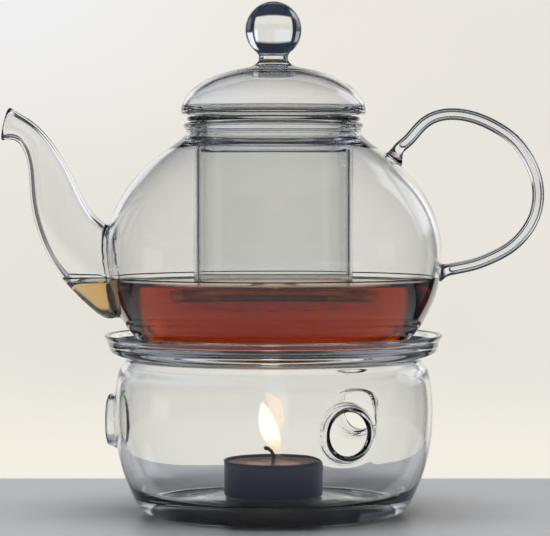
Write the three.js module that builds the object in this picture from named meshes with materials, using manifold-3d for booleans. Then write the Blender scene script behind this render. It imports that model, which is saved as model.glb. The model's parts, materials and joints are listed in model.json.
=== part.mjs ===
// Glass teapot on its glass warmer: pot, infuser, lid, warmer and tealight.
// Millimetres, +Z up. The origin is on the set's axis, on the surface it stands on.
// The spout points along -X and the handle along +X.

import * as THREE from 'three';
import { mergeVertices } from 'three/addons/utils/BufferGeometryUtils.js';
import Module from 'manifold-3d';

const wasm = await Module();
wasm.setup();

// ---- Common values ---------------------------------------------------------

const GAP = 0.3; // between pieces that touch or are fused together
const WALL = 2; // blown glass
const AROUND = 32; // facets round the large pieces
const SMALL_AROUND = 20; // facets round the small pieces
const ROD_AROUND = 12; // facets round the handle
const WICK_AROUND = 10;
const EDGE = 0.5; // fire-polished corner

// ---- Driving dimensions ----------------------------------------------------

const NECK_RADIUS = 33.5; // outside of the pot's neck
const NECK_WALL = 2.3;
const NECK_HEIGHT = 6.5;
const NECK_BEAD = 0.8; // how far the rolled edge stands out
const SHOULDER_FLARE = 1.6; // how far the neck spreads where it meets the bowl

const POT_RADIUS = 64.7;
const POT_BASE_RADIUS = 49.5;
const POT_BELLY_HEIGHT = 36.1; // base to widest
const POT_SHOULDER_HEIGHT = 43.7; // widest to neck
const POT_FLOOR = 2.4;
const POT_BASE_CORNER = 4;

const INFUSER_CLEARANCE = 0.6; // in the neck
const INFUSER_LENGTH = 64; // below the neck's edge
const INFUSER_RIM_THICKNESS = 2;
const INFUSER_RIM_INSET = 0.4; // inside the neck's outer edge
const INFUSER_FLOOR = 2;
const DRAIN_RADIUS = 1.6;
const DRAIN_CIRCLES = [
  { count: 6, radius: 9 },
  { count: 12, radius: 19 },
];

const PLUG_CLEARANCE = 0.6; // in the infuser
const PLUG_WALL = 1.8;
const PLUG_DEPTH = 15;
const PLUG_SHELF = 1.8;
const LID_OVERHANG = 1.9; // past the neck
const LID_WALL = 1.8;
const LID_HEIGHT = 17.2; // widest to the top of the dome
const LID_EDGE_HEIGHT = 2; // lowest edge to widest
const LID_EDGE_INSET = 0.7; // widest in to the lowest edge

const KNOB_RADIUS = 10.8;
const KNOB_STEM_RADIUS = 5.5;
const KNOB_STEM_HEIGHT = 4;
const KNOB_FOOT_RADIUS = 7.2;
const KNOB_FOOT_HEIGHT = 1;

const SPOUT_WALL = 1.6;
const SPOUT_FLATTENING = 0.92; // width over height of its section
const HANDLE_ROD_RADIUS = 2.3;
const HANDLE_UPPER_FOOT_RADIUS = 3.8;
const HANDLE_LOWER_FOOT_RADIUS = 3.2;
const HANDLE_FOOT_LENGTH = 4;

const WARMER_HEIGHT = 58;
const WARMER_BULGE = 5.2; // belly past the neck
const WARMER_SHOULDER = 3; // height of the bend below the neck
const WARMER_BELLY_DROP = 20; // neck down to widest
const WARMER_BASE_INSET = 11.2; // belly in to the base's corner
const WARMER_BASE_CORNER = 5;
const FOOT_RING_WIDTH = 4;
const PEDESTAL_RADIUS = 27;
const PEDESTAL_HEIGHT = 5.3;

const TRAY_CLEARANCE = 6.3; // round the pot, at the tray's lip
const TRAY_WALL = 2;
const TRAY_NECK_INSET = 6.7; // tray's outside in to the warmer's neck
const TRAY_NECK_HEIGHT = 2;
const TRAY_FLOOR = 2.3;
const TRAY_DEPTH = 6.1; // ledge to lip
const TRAY_LIP = 2.2; // how far the lip turns out
const LEDGE_OVERLAP = 5.5; // under the edge of the pot's base

const VENT_BORE_RADIUS = 8;
const VENT_RING_WALL = 2.2;
const VENT_HEIGHT = 35.4;
const VENT_OUTSIDE = 2.7; // how far a ring stands out of the warmer
const VENT_INSIDE = 3;
const VENTS = [
  { name: 'vent_ring_front', turn: 26 },
  { name: 'vent_ring_back', turn: 146 },
  { name: 'vent_ring_left', turn: 266 },
]; // degrees from -Y towards +X

const CUP_RADIUS = 19;
const CUP_HEIGHT = 14.1;
const CUP_WALL = 0.7;
const CUP_CURL = 0.2; // how far the cup's rim turns out
const WAX_BELOW_RIM = 1.3;
const WAX_POOL_DEPTH = 0.5;
const WICK_RADIUS = 0.6;
const SUSTAINER_RADIUS = 6.5;
const SUSTAINER_THICKNESS = 0.5;
const SUSTAINER_NECK_RADIUS = 1.7;
const SUSTAINER_NECK_HEIGHT = 4;

// ---- Sizes that follow from them ------------------------------------------

const trayFloorTop = WARMER_HEIGHT + GAP + TRAY_NECK_HEIGHT + TRAY_FLOOR;
const trayLipTop = trayFloorTop + TRAY_DEPTH;
const potBase = trayFloorTop + GAP;
const potBelly = potBase + POT_BELLY_HEIGHT;
const potTop = potBelly + POT_SHOULDER_HEIGHT;
const neckBase = potTop + GAP;
const neckTop = neckBase + NECK_HEIGHT;
const neckInner = NECK_RADIUS - NECK_WALL;

const infuserOuter = neckInner - INFUSER_CLEARANCE;
const infuserInner = infuserOuter - WALL;
const infuserRimBase = neckTop + GAP;
const infuserRimTop = infuserRimBase + INFUSER_RIM_THICKNESS;
const infuserBottom = neckTop - INFUSER_LENGTH;

const plugOuter = infuserInner - PLUG_CLEARANCE;
const plugInner = plugOuter - PLUG_WALL;
const plugShelfBase = infuserRimTop + GAP;
const plugBottom = plugShelfBase - PLUG_DEPTH;
const lidRadius = NECK_RADIUS + LID_OVERHANG;
const lidEdge = plugShelfBase;
const lidBelly = lidEdge + LID_EDGE_HEIGHT;
const lidTop = lidBelly + LID_HEIGHT;
const knobBase = lidTop + GAP;

// Radius of an ellipse that is `widest` at height 0 and `end` at height `rise`.
function ovalHeight(widest, end, rise) {
  return rise / Math.sqrt(1 - (end / widest) ** 2);
}

function potRadiusAt(z, inset = 0) {
  const belly = POT_RADIUS - inset;
  const below = z < potBelly;
  const end = below ? POT_BASE_RADIUS - inset : NECK_RADIUS + SHOULDER_FLARE - inset;
  const rise = ovalHeight(belly, end, below ? POT_BELLY_HEIGHT : POT_SHOULDER_HEIGHT);
  return belly * Math.sqrt(1 - ((z - potBelly) / rise) ** 2);
}

const trayInner = potRadiusAt(trayLipTop) + TRAY_CLEARANCE;
const trayOuter = trayInner + TRAY_WALL;
const warmerNeck = trayOuter - TRAY_NECK_INSET;
const warmerRadius = warmerNeck + WARMER_BULGE;
const warmerBelly = WARMER_HEIGHT - WARMER_BELLY_DROP;
const warmerBase = warmerRadius - WARMER_BASE_INSET;
const heatOpening = POT_BASE_RADIUS - LEDGE_OVERLAP;
const cupBase = PEDESTAL_HEIGHT + GAP;
const cupRim = cupBase + CUP_HEIGHT;

// ---- Geometry helpers ------------------------------------------------------

// Closed solid with merged vertices, no empty triangles and outward faces.
function tidy(geometry) {
  const bare = new THREE.BufferGeometry();
  bare.setAttribute('position', geometry.getAttribute('position'));
  if (geometry.index) bare.setIndex(geometry.index);
  const merged = mergeVertices(bare);
  const at = merged.getAttribute('position');
  const [a, b, c] = [new THREE.Vector3(), new THREE.Vector3(), new THREE.Vector3()];
  const kept = [];
  let volume = 0;
  for (let i = 0; i < merged.index.count; i += 3) {
    const corners = [0, 1, 2].map((k) => merged.index.getX(i + k));
    if (new Set(corners).size < 3) continue;
    kept.push(corners);
    [a, b, c].forEach((v, k) => v.fromBufferAttribute(at, corners[k]));
    volume += a.dot(b.cross(c));
  }
  if (volume < 0) kept.forEach((corners) => corners.reverse());
  merged.setIndex(kept.flat());
  return merged;
}

function toManifold(geometry) {
  const closed = tidy(geometry);
  return new wasm.Manifold(new wasm.Mesh({
    numProp: 3,
    vertProperties: new Float32Array(closed.getAttribute('position').array),
    triVerts: new Uint32Array(closed.index.array),
  }));
}

function fromManifold(manifold) {
  const mesh = manifold.getMesh();
  const geometry = new THREE.BufferGeometry();
  geometry.setAttribute('position', new THREE.BufferAttribute(mesh.vertProperties, 3));
  geometry.setIndex(new THREE.BufferAttribute(mesh.triVerts, 1));
  return geometry;
}

function subtract(geometry, ...cutters) {
  const cut = cutters.reduce((body, tool) => body.subtract(toManifold(tool)), toManifold(geometry));
  return fromManifold(cut);
}

// Points of an elliptical arc in the (radius, height) plane, angles in degrees.
function arc(centre, radii, from, to, steps) {
  const [start, end] = [from, to].map(THREE.MathUtils.degToRad);
  const curve = new THREE.EllipseCurve(centre[0], centre[1], radii[0], radii[1], start, end, from > to);
  return curve.getPoints(steps).map((p) => [p.x, p.y]);
}

// Points of an oval wall from height `from` to `to`, as radii from `radiusAt`.
function flank(radiusAt, from, to, steps) {
  return Array.from({ length: steps + 1 }, (_, i) => {
    const z = from + ((to - from) * i) / steps;
    return [radiusAt(z), z];
  });
}

// Turns a list of [radius, height] about Z.
function revolve(outline, around = AROUND) {
  const points = outline.map(([r, z]) => new THREE.Vector2(Math.max(r, 0), z));
  return tidy(new THREE.LatheGeometry(points, around).rotateX(Math.PI / 2));
}

// The same for an outline that doesn't touch the axis.
function revolveRing(outline, around = AROUND) {
  return revolve([...outline, outline[0]], around);
}

// Bends a turned solid so that its Z axis, from 0 to `length`, follows a curve in the XZ plane.
function bend(geometry, curve, length, flattening = 1) {
  const bent = geometry.clone();
  const at = bent.getAttribute('position');
  const side = new THREE.Vector3(0, 1, 0);
  for (let i = 0; i < at.count; i += 1) {
    const u = THREE.MathUtils.clamp(at.getZ(i) / length, 0, 1);
    const tangent = curve.getTangentAt(u);
    const across = new THREE.Vector3().crossVectors(side, tangent);
    const point = curve.getPointAt(u)
      .addScaledVector(across, at.getX(i))
      .addScaledVector(side, at.getY(i) * flattening);
    at.setXYZ(i, point.x, point.y, point.z);
  }
  return tidy(bent);
}

function routeOf(points) {
  return new THREE.CatmullRomCurve3(points.map(([x, z]) => new THREE.Vector3(x, 0, z)));
}

// ---- Warmer ----------------------------------------------------------------

function warmerRadiusAt(z, inset = 0) {
  const belly = warmerRadius - inset;
  const below = z < warmerBelly;
  const end = below ? warmerBase - inset : warmerRadius - inset - WARMER_SHOULDER * 0.6;
  const reach = below ? warmerBelly : WARMER_BELLY_DROP - WARMER_SHOULDER;
  return belly * Math.sqrt(1 - ((z - warmerBelly) / ovalHeight(belly, end, reach)) ** 2);
}

function warmerWall() {
  const shoulder = WARMER_HEIGHT - WARMER_SHOULDER;
  const bottom = PEDESTAL_HEIGHT - WALL;
  const ringOuter = warmerRadiusAt(WARMER_BASE_CORNER) - WARMER_BASE_CORNER;
  const ringInner = ringOuter - FOOT_RING_WIDTH;
  return revolve([
    [0, bottom],
    [PEDESTAL_RADIUS - WALL, bottom],
    [ringInner, 0],
    [ringOuter, 0],
    [warmerRadiusAt(WARMER_BASE_CORNER) - WARMER_BASE_CORNER * 0.3, WARMER_BASE_CORNER * 0.3],
    ...flank((z) => warmerRadiusAt(z), WARMER_BASE_CORNER, shoulder, 9),
    [warmerNeck + 1.2, shoulder + WARMER_SHOULDER * 0.65],
    [warmerNeck, WARMER_HEIGHT],
    [warmerNeck - WALL, WARMER_HEIGHT],
    [warmerNeck - WALL + 1, shoulder + WARMER_SHOULDER * 0.4],
    ...flank((z) => warmerRadiusAt(z, WALL), shoulder - 1, WARMER_BASE_CORNER + WALL, 8),
    [ringOuter, WALL],
    [ringInner + 1, WALL],
    [PEDESTAL_RADIUS, PEDESTAL_HEIGHT],
    [0, PEDESTAL_HEIGHT],
  ]);
}

// Puts a solid made about Z on the axis of a vent, its Z pointing out of the warmer.
function toVent(geometry, turn) {
  return geometry.rotateX(Math.PI / 2)
    .rotateZ(THREE.MathUtils.degToRad(turn))
    .translate(0, 0, VENT_HEIGHT);
}

function warmerBowl() {
  const hole = VENT_BORE_RADIUS + VENT_RING_WALL + GAP;
  const holes = VENTS.map(({ turn }) => {
    const drill = new THREE.CylinderGeometry(hole, hole, warmerRadius, SMALL_AROUND);
    return toVent(drill.rotateX(Math.PI / 2).translate(0, 0, warmerRadius), turn);
  });
  return subtract(warmerWall(), ...holes);
}

function ventRing(turn) {
  const outer = VENT_BORE_RADIUS + VENT_RING_WALL;
  const wall = warmerRadiusAt(VENT_HEIGHT);
  const lip = VENT_RING_WALL / 2;
  const outline = [
    [VENT_BORE_RADIUS, wall - VENT_INSIDE],
    [outer - lip * 0.4, wall - VENT_INSIDE],
    [outer, wall - VENT_INSIDE + lip],
    ...arc([VENT_BORE_RADIUS + lip, wall + VENT_OUTSIDE - lip], [lip, lip], 0, 180, 4),
  ];
  return toVent(revolveRing(outline, SMALL_AROUND), turn);
}

function warmerTray() {
  const base = WARMER_HEIGHT + GAP;
  const underside = base + TRAY_NECK_HEIGHT;
  const corner = TRAY_FLOOR;
  return revolveRing([
    [heatOpening, underside + EDGE],
    [heatOpening + EDGE, underside],
    [warmerNeck - WALL, underside],
    [warmerNeck - WALL, base],
    [warmerNeck, base],
    [warmerNeck, underside],
    ...arc([trayOuter - corner, underside + corner], [corner, corner], 270, 360, 3),
    [trayOuter, trayLipTop - 2],
    [trayOuter + TRAY_LIP, trayLipTop - 1],
    [trayOuter + TRAY_LIP, trayLipTop - 0.3],
    [trayOuter + TRAY_LIP - 1, trayLipTop],
    [trayInner + 0.6, trayLipTop - 0.4],
    [trayInner, trayLipTop - 1.4],
    [trayInner, trayFloorTop + 1.2],
    [trayInner - 1.2, trayFloorTop],
    [heatOpening + EDGE, trayFloorTop],
    [heatOpening, trayFloorTop - EDGE],
  ]);
}

// ---- Tealight --------------------------------------------------------------

function tealightCup() {
  return revolve([
    [0, cupBase],
    [CUP_RADIUS - EDGE, cupBase],
    [CUP_RADIUS, cupBase + EDGE],
    [CUP_RADIUS, cupRim - EDGE],
    [CUP_RADIUS + CUP_CURL, cupRim],
    [CUP_RADIUS - CUP_WALL, cupRim],
    [CUP_RADIUS - CUP_WALL, cupBase + CUP_WALL],
    [0, cupBase + CUP_WALL],
  ]);
}

const sustainerBase = cupBase + CUP_WALL + GAP;
const sustainerTop = sustainerBase + SUSTAINER_THICKNESS;

function wickSustainer() {
  const bore = WICK_RADIUS + GAP;
  const neckTopZ = sustainerTop + SUSTAINER_NECK_HEIGHT;
  return revolveRing([
    [bore, sustainerBase],
    [SUSTAINER_RADIUS, sustainerBase],
    [SUSTAINER_RADIUS, sustainerTop],
    [SUSTAINER_NECK_RADIUS, sustainerTop],
    [SUSTAINER_NECK_RADIUS, neckTopZ],
    [bore, neckTopZ],
  ], SMALL_AROUND);
}

function tealightWax() {
  const top = cupRim - WAX_BELOW_RIM;
  const outer = CUP_RADIUS - CUP_WALL - GAP;
  const wickHole = WICK_RADIUS + GAP;
  const neckHole = SUSTAINER_NECK_RADIUS + GAP;
  const neckRoof = sustainerTop + SUSTAINER_NECK_HEIGHT + GAP;
  const plateRoof = sustainerTop + GAP;
  return revolveRing([
    [SUSTAINER_RADIUS + GAP, sustainerBase],
    [outer, sustainerBase],
    [outer, top],
    [outer * 0.6, top - WAX_POOL_DEPTH],
    [wickHole, top - WAX_POOL_DEPTH],
    [wickHole, neckRoof],
    [neckHole, neckRoof],
    [neckHole, plateRoof],
    [SUSTAINER_RADIUS + GAP, plateRoof],
  ]);
}

function tealightWick() {
  const top = cupRim - WAX_BELOW_RIM;
  const route = routeOf([
    [0, sustainerBase],
    [0, top - 4],
    [0, top],
    [-0.5, top + 2.6],
    [-1.6, top + 4.4],
    [-3.2, top + 5.6],
  ]);
  const length = route.getLength();
  const rod = [[0, 0], [WICK_RADIUS, 0]];
  const steps = 12;
  for (let i = 1; i < steps; i += 1) rod.push([WICK_RADIUS, (length * i) / steps]);
  rod.push([WICK_RADIUS, length - 0.3], [0, length]);
  return bend(revolve(rod, WICK_AROUND), route, length);
}

// ---- Pot -------------------------------------------------------------------

function potWall(inset, floor, corner) {
  const bottom = potBase + floor;
  return [
    [0, bottom],
    [potRadiusAt(bottom + corner, inset) - corner, bottom],
    [potRadiusAt(bottom + corner, inset) - corner * 0.3, bottom + corner * 0.3],
    ...flank((z) => potRadiusAt(z, inset), bottom + corner, potTop - 12, 9),
  ];
}

function potOutside(extra) {
  return [
    ...potWall(-extra, -extra, POT_BASE_CORNER),
    ...flank((z) => potRadiusAt(z, -extra), potTop - 8, potTop, 3),
  ];
}

// Spout: centres [out from the belly, up from the pot's base] and outer radii.
// The first three lie inside the bowl's wall and at its root.
const SPOUT_STATIONS = [
  [-13, 20.5, 15.6],
  [-2, 28.6, 14.6],
  [7.5, 37.4, 13.8],
  [14.2, 45.8, 12],
  [17.8, 54.2, 10.4],
  [19.9, 62.6, 9.1],
  [22.2, 70.7, 7],
  [25.4, 77.7, 5.5],
  [29.2, 82.6, 4.8],
  [33.2, 84.9, 5],
  [37.7, 86, 6.5],
];

const spoutRoute = routeOf(SPOUT_STATIONS.map(([out, up]) => [-(POT_RADIUS + out), potBase + up]));

// Outer radii along the spout as [radius, distance], each less `inset`.
function spoutRadii(inset) {
  const length = spoutRoute.getLength();
  const distances = spoutRoute.getLengths(SPOUT_STATIONS.length - 1);
  return SPOUT_STATIONS.map(([, , radius], i) => {
    const last = i === SPOUT_STATIONS.length - 1;
    return [radius - inset, last ? length : distances[i]];
  });
}

function spoutBore() {
  const radii = spoutRadii(SPOUT_WALL);
  const length = spoutRoute.getLength();
  const bore = revolve([[0, 0], ...radii, [0, length]], SMALL_AROUND);
  return bend(bore, spoutRoute, length, SPOUT_FLATTENING);
}

function potBowl() {
  const outside = potOutside(0);
  const inside = [
    ...potWall(WALL, POT_FLOOR, POT_BASE_CORNER - WALL),
    ...flank((z) => potRadiusAt(z, WALL), potTop - 8, potTop - 1.2, 3),
    [neckInner, potTop],
  ];
  return subtract(revolve([...outside, ...inside.reverse()]), spoutBore());
}

function potNeck() {
  const bead = NECK_RADIUS + NECK_BEAD;
  return revolveRing([
    [neckInner, neckBase],
    [NECK_RADIUS + SHOULDER_FLARE, neckBase],
    [NECK_RADIUS + SHOULDER_FLARE * 0.25, neckBase + 1],
    [NECK_RADIUS, neckBase + 2.2],
    [NECK_RADIUS, neckTop - 2.2],
    [bead, neckTop - 1.4],
    [bead, neckTop - 0.6],
    [NECK_RADIUS, neckTop],
    [neckInner, neckTop],
  ]);
}

function spout() {
  const length = spoutRoute.getLength();
  const outer = spoutRadii(0);
  const inner = spoutRadii(SPOUT_WALL);
  const straight = revolveRing([...outer, ...inner.reverse()], SMALL_AROUND);
  const wall = bend(straight, spoutRoute, length, SPOUT_FLATTENING);
  return subtract(wall, revolve([...potOutside(GAP), [0, potTop]]));
}

// Handle: centres [out from the belly, up from the pot's base] between its two feet.
const HANDLE_POINTS = [
  [-13.5, 79.2],
  [-6.1, 87.9],
  [3.3, 90.2],
  [15.3, 87.3],
  [28.8, 78.7],
  [36.3, 65.1],
  [35.9, 51.7],
  [27.8, 39.8],
  [15.3, 33.2],
];
const HANDLE_UPPER_FOOT_HEIGHT = 72.4;
const HANDLE_LOWER_FOOT_HEIGHT = 29.4;

function handleRoute() {
  const foot = (up) => [potRadiusAt(potBase + up) - 1, potBase + up];
  return routeOf([
    foot(HANDLE_UPPER_FOOT_HEIGHT),
    ...HANDLE_POINTS.map(([out, up]) => [POT_RADIUS + out, potBase + up]),
    foot(HANDLE_LOWER_FOOT_HEIGHT),
  ]);
}

function handle() {
  const route = handleRoute();
  const length = route.getLength();
  const rod = [[0, 0], [HANDLE_UPPER_FOOT_RADIUS, 0], [HANDLE_UPPER_FOOT_RADIUS, 1.6]];
  const from = HANDLE_FOOT_LENGTH;
  const to = length - HANDLE_FOOT_LENGTH;
  const steps = 30;
  for (let i = 0; i <= steps; i += 1) rod.push([HANDLE_ROD_RADIUS, from + ((to - from) * i) / steps]);
  rod.push([HANDLE_LOWER_FOOT_RADIUS, length - 1.6], [HANDLE_LOWER_FOOT_RADIUS, length], [0, length]);
  const bent = bend(revolve(rod, ROD_AROUND), route, length);
  return subtract(bent, revolve([...potOutside(GAP), [0, potTop]]));
}

// ---- Infuser ---------------------------------------------------------------

function infuserTube() {
  return revolveRing([
    [infuserInner, infuserBottom],
    [infuserOuter - EDGE, infuserBottom],
    [infuserOuter, infuserBottom + EDGE],
    [infuserOuter, infuserRimBase - GAP],
    [infuserInner, infuserRimBase - GAP],
  ]);
}

function infuserRim() {
  const outer = NECK_RADIUS - INFUSER_RIM_INSET;
  return revolveRing([
    [infuserInner, infuserRimBase],
    [outer - EDGE, infuserRimBase],
    [outer, infuserRimBase + EDGE],
    [outer, infuserRimTop - EDGE],
    [outer - EDGE, infuserRimTop],
    [infuserInner + EDGE, infuserRimTop],
    [infuserInner, infuserRimTop - EDGE],
  ]);
}

function infuserFloor() {
  const radius = infuserInner - GAP;
  const disc = revolve([
    [0, infuserBottom],
    [radius, infuserBottom],
    [radius, infuserBottom + INFUSER_FLOOR],
    [0, infuserBottom + INFUSER_FLOOR],
  ]);
  const drains = DRAIN_CIRCLES.flatMap((circle) => Array.from({ length: circle.count }, (_, i) => {
    const drain = new THREE.CylinderGeometry(DRAIN_RADIUS, DRAIN_RADIUS, INFUSER_FLOOR * 3, 8);
    drain.rotateX(Math.PI / 2).translate(circle.radius, 0, infuserBottom + INFUSER_FLOOR / 2);
    return drain.rotateZ((i / circle.count) * Math.PI * 2);
  }));
  return subtract(disc, ...drains);
}

// ---- Lid -------------------------------------------------------------------

// Outline of the dome from the middle of its top to its lowest edge: half an oval with a short skirt.
function domeOutline(inset) {
  const radius = lidRadius - inset;
  return [
    ...arc([0, lidBelly], [radius, lidTop - inset - lidBelly], 90, 0, 12),
    [radius - LID_EDGE_INSET, lidEdge],
  ];
}

function lidDome() {
  return revolve([...domeOutline(0), ...domeOutline(LID_WALL).reverse()]);
}

function lidPlug() {
  const shelfOuter = lidRadius - LID_WALL - LID_EDGE_INSET - GAP;
  return revolveRing([
    [plugInner, plugBottom],
    [plugOuter - EDGE, plugBottom],
    [plugOuter, plugBottom + EDGE],
    [plugOuter, plugShelfBase],
    [shelfOuter, plugShelfBase],
    [shelfOuter, plugShelfBase + PLUG_SHELF],
    [plugInner + 1, plugShelfBase + PLUG_SHELF],
    [plugInner, plugShelfBase + PLUG_SHELF - 1],
  ]);
}

function lidKnob() {
  const stemTop = knobBase + KNOB_STEM_HEIGHT;
  const grip = THREE.MathUtils.radToDeg(Math.acos(KNOB_STEM_RADIUS / KNOB_RADIUS));
  const centre = stemTop + KNOB_RADIUS * Math.sin(THREE.MathUtils.degToRad(grip));
  return revolve([
    [0, knobBase],
    [KNOB_FOOT_RADIUS, knobBase],
    [KNOB_FOOT_RADIUS - 0.4, knobBase + KNOB_FOOT_HEIGHT],
    [KNOB_STEM_RADIUS, knobBase + KNOB_FOOT_HEIGHT + 0.8],
    ...arc([0, centre], [KNOB_RADIUS, KNOB_RADIUS], -grip, 90, 11),
  ], SMALL_AROUND);
}

// ---- Assembly --------------------------------------------------------------

const glass = () => new THREE.MeshStandardMaterial({
  color: 0xdfe6e4, roughness: 0.05, metalness: 0, transparent: true, opacity: 0.35,
});
const cupMetal = () => new THREE.MeshStandardMaterial({ color: 0x2a3345, roughness: 0.4, metalness: 0.6 });
const wax = () => new THREE.MeshStandardMaterial({ color: 0x9c5a3c, roughness: 0.35, metalness: 0 });
const burntCotton = () => new THREE.MeshStandardMaterial({ color: 0x15120f, roughness: 0.9, metalness: 0 });
const tinplate = () => new THREE.MeshStandardMaterial({ color: 0xa8a9a6, roughness: 0.4, metalness: 0.9 });

function piece(name, geometry, material) {
  const mesh = new THREE.Mesh(geometry, material());
  mesh.name = name;
  return mesh;
}

function assembly(...pieces) {
  const group = new THREE.Group();
  group.add(...pieces);
  return group;
}

const warmer = assembly(
  piece('warmer_bowl', warmerBowl(), glass),
  piece('warmer_tray', warmerTray(), glass),
  ...VENTS.map(({ name, turn }) => piece(name, ventRing(turn), glass)),
);

const tealight = assembly(
  piece('tealight_cup', tealightCup(), cupMetal),
  piece('tealight_wax', tealightWax(), wax),
  piece('wick_sustainer', wickSustainer(), tinplate),
  piece('tealight_wick', tealightWick(), burntCotton),
);

const pot = assembly(
  piece('pot_bowl', potBowl(), glass),
  piece('pot_neck', potNeck(), glass),
  piece('spout', spout(), glass),
  piece('handle', handle(), glass),
);

const infuser = assembly(
  piece('infuser_tube', infuserTube(), glass),
  piece('infuser_floor', infuserFloor(), glass),
  piece('infuser_rim', infuserRim(), glass),
);

const lid = assembly(
  piece('lid_dome', lidDome(), glass),
  piece('lid_plug', lidPlug(), glass),
  piece('lid_knob', lidKnob(), glass),
);

const teapotOnWarmer = assembly(warmer, tealight, pot, infuser, lid);
export default teapotOnWarmer;
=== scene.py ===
"""Glass teapot on its tealight warmer: clear borosilicate glass, tea, candle and a plain studio."""

import json
import math

import bpy
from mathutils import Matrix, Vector

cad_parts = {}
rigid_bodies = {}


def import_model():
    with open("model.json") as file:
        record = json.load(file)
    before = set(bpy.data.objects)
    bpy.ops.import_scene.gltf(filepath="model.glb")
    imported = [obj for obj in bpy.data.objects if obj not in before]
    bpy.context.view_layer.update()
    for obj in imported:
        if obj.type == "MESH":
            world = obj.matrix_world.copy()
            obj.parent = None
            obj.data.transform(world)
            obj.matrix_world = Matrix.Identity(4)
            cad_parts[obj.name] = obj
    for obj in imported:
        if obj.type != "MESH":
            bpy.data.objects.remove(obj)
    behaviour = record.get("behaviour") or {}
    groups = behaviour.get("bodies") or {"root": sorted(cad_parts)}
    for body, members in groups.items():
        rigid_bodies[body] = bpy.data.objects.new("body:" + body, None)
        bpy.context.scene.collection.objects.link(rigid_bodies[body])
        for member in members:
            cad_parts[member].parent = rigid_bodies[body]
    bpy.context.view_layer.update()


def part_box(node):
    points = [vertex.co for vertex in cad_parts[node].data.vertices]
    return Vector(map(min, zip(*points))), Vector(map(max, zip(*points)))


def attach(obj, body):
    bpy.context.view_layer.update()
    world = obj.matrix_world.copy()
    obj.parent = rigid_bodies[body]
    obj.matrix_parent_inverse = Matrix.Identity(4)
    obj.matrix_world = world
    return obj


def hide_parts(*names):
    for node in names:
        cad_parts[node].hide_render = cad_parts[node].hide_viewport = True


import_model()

MM = 0.001
UP = (0, 0, 1)
FILLET_SPREAD = 2  # rows of points on either side of a fused edge


# ---- Modelling helpers ------------------------------------------------------


def deselect():
    bpy.ops.object.select_all(action="DESELECT")


def activate(piece):
    deselect()
    piece.select_set(True)
    bpy.context.view_layer.objects.active = piece
    return piece


def first_point(name):
    """A mesh of one selected point at the origin, in edit mode and in point select."""
    deselect()
    bpy.ops.mesh.primitive_circle_add(vertices=3, radius=MM)
    piece = bpy.context.active_object
    piece.name = piece.data.name = name
    bpy.ops.object.mode_set(mode="EDIT")
    bpy.ops.mesh.select_mode(type="VERT")
    bpy.ops.mesh.select_all(action="SELECT")
    bpy.ops.mesh.merge(type="CENTER")
    return piece


def smoothed(piece, levels):
    activate(piece)
    surface = piece.modifiers.new("rounding", "SUBSURF")
    surface.levels = surface.render_levels = levels
    bpy.ops.object.modifier_apply(modifier=surface.name)
    bpy.ops.object.shade_smooth()
    return piece


def turned(name, outline, steps=64, levels=2):
    """A solid of revolution about Z. The outline is in mm, as (radius, height), and either
    starts and ends on the axis or is a ring that closes on itself."""
    on_axis = outline[0][0] == 0 and outline[-1][0] == 0
    piece = first_point(name)
    path = outline if on_axis else [*outline, outline[0]]
    at = Vector((0, 0, 0))
    for i, (radius, height) in enumerate(path):
        target = Vector((radius * MM, 0, height * MM))
        if i == 0:
            bpy.ops.transform.translate(value=target)
        else:
            bpy.ops.mesh.extrude_vertices_move(TRANSFORM_OT_translate={"value": target - at})
        at = target
    bpy.ops.mesh.select_all(action="SELECT")
    bpy.ops.mesh.spin(steps=steps, angle=2 * math.pi, center=(0, 0, 0), axis=UP)
    bpy.ops.mesh.select_all(action="SELECT")
    bpy.ops.mesh.remove_doubles(threshold=0.01 * MM)
    bpy.ops.mesh.normals_make_consistent(inside=False)
    bpy.ops.object.mode_set(mode="OBJECT")
    return smoothed(piece, levels)


def tube(name, stations, sides=16, levels=2, flattening=1.0):
    """A closed round solid along stations in the XZ plane, in mm, as (x, z, radius)."""
    spots = [Vector((x, 0, z)) * MM for x, z, _ in stations]
    count = len(spots)
    ahead = [spots[min(i + 1, count - 1)] - spots[max(i - 1, 0)] for i in range(count)]
    turns = [math.atan2(d.x, d.z) for d in ahead]
    swell = 6 / (4 + 2 * math.cos(2 * math.pi / sides))  # rounding draws the ring in by this much
    deselect()
    bpy.ops.mesh.primitive_circle_add(
        vertices=sides,
        radius=stations[0][2] * MM * swell,
        fill_type="NGON",
        location=spots[0],
        rotation=(0, turns[0], 0),
    )
    piece = bpy.context.active_object
    piece.name = piece.data.name = name
    bpy.ops.object.transform_apply(location=True, rotation=True, scale=True)
    bpy.ops.object.mode_set(mode="EDIT")
    bpy.ops.mesh.select_all(action="SELECT")
    for i in range(1, count):
        step = spots[i] - spots[i - 1]
        bpy.ops.mesh.extrude_region_move(TRANSFORM_OT_translate={"value": step})
        share = stations[i][2] / stations[i - 1][2]
        bpy.ops.transform.resize(value=(share, share, share), center_override=spots[i])
        bend = turns[i] - turns[i - 1]
        bend = (bend + math.pi) % (2 * math.pi) - math.pi
        # without a window the turn runs the other way
        bpy.ops.transform.rotate(value=-bend, orient_axis="Y", center_override=spots[i])
    bpy.ops.mesh.select_all(action="SELECT")
    bpy.ops.transform.resize(value=(1, flattening, 1), center_override=(0, 0, 0))
    bpy.ops.mesh.normals_make_consistent(inside=False)
    bpy.ops.object.mode_set(mode="OBJECT")
    return smoothed(piece, levels)


def boolean(piece, operation, tool, keep_tool=False):
    activate(piece)
    cut = piece.modifiers.new(operation.lower(), "BOOLEAN")
    cut.operation = operation
    cut.solver = "MANIFOLD"
    cut.object = tool
    bpy.ops.object.modifier_apply(modifier=cut.name)
    if not keep_tool:
        bpy.data.objects.remove(tool)
    return piece


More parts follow.
